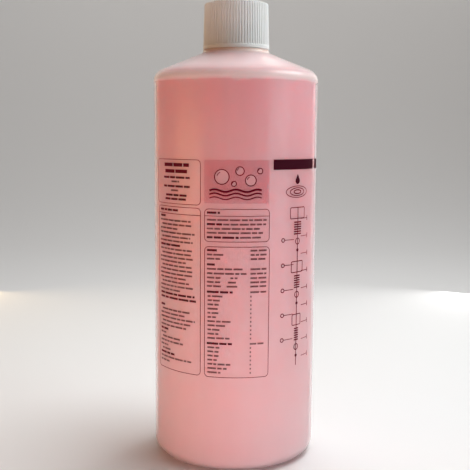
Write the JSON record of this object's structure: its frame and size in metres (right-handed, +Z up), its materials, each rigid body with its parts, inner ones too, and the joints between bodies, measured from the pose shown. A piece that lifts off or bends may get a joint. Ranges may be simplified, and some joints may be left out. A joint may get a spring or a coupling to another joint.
{
  "type": "liquid soap refill bottle",
  "caption": "Round translucent refill bottle filled with pink liquid soap, with a raised base, sloping shoulder and ribbed white screw cap.",
  "frame": {"origin": "centre of the foot ring, on the surface that the bottle stands on", "axes": "+Z up along the bottle's axis, -Y towards the middle of the printed front"},
  "size_m": [0.084, 0.084, 0.2321],
  "materials": {
    "bottle_wall": "milky translucent, satin",
    "soap": "pink pearl liquid",
    "print": "dark maroon screen print",
    "liner": "soft foam",
    "cap": "fine-ribbed satin white"
  },
  "bodies": {
    "bottle": {"bottle": "bottle_wall", "soap": "soap"},
    "liner": {"cap_liner": "liner"},
    "cap": {"cap": "cap"}
  },
  "joints": [
    {"name": "cap_lift", "type": "slide", "parent": "bottle", "child": "liner", "axis": [0, 0, 1], "range_m": [0, 0.006]},
    {"name": "cap_turn", "type": "hinge", "parent": "liner", "child": "cap", "pos_m": [0, 0, 0.2093], "axis": [0, 0, 1], "range_deg": [0, 540]}
  ],
  "couplings": [
    {"joint": "cap_lift", "follows": "cap_turn", "m_per_rad": 0.00063662}
  ]
}
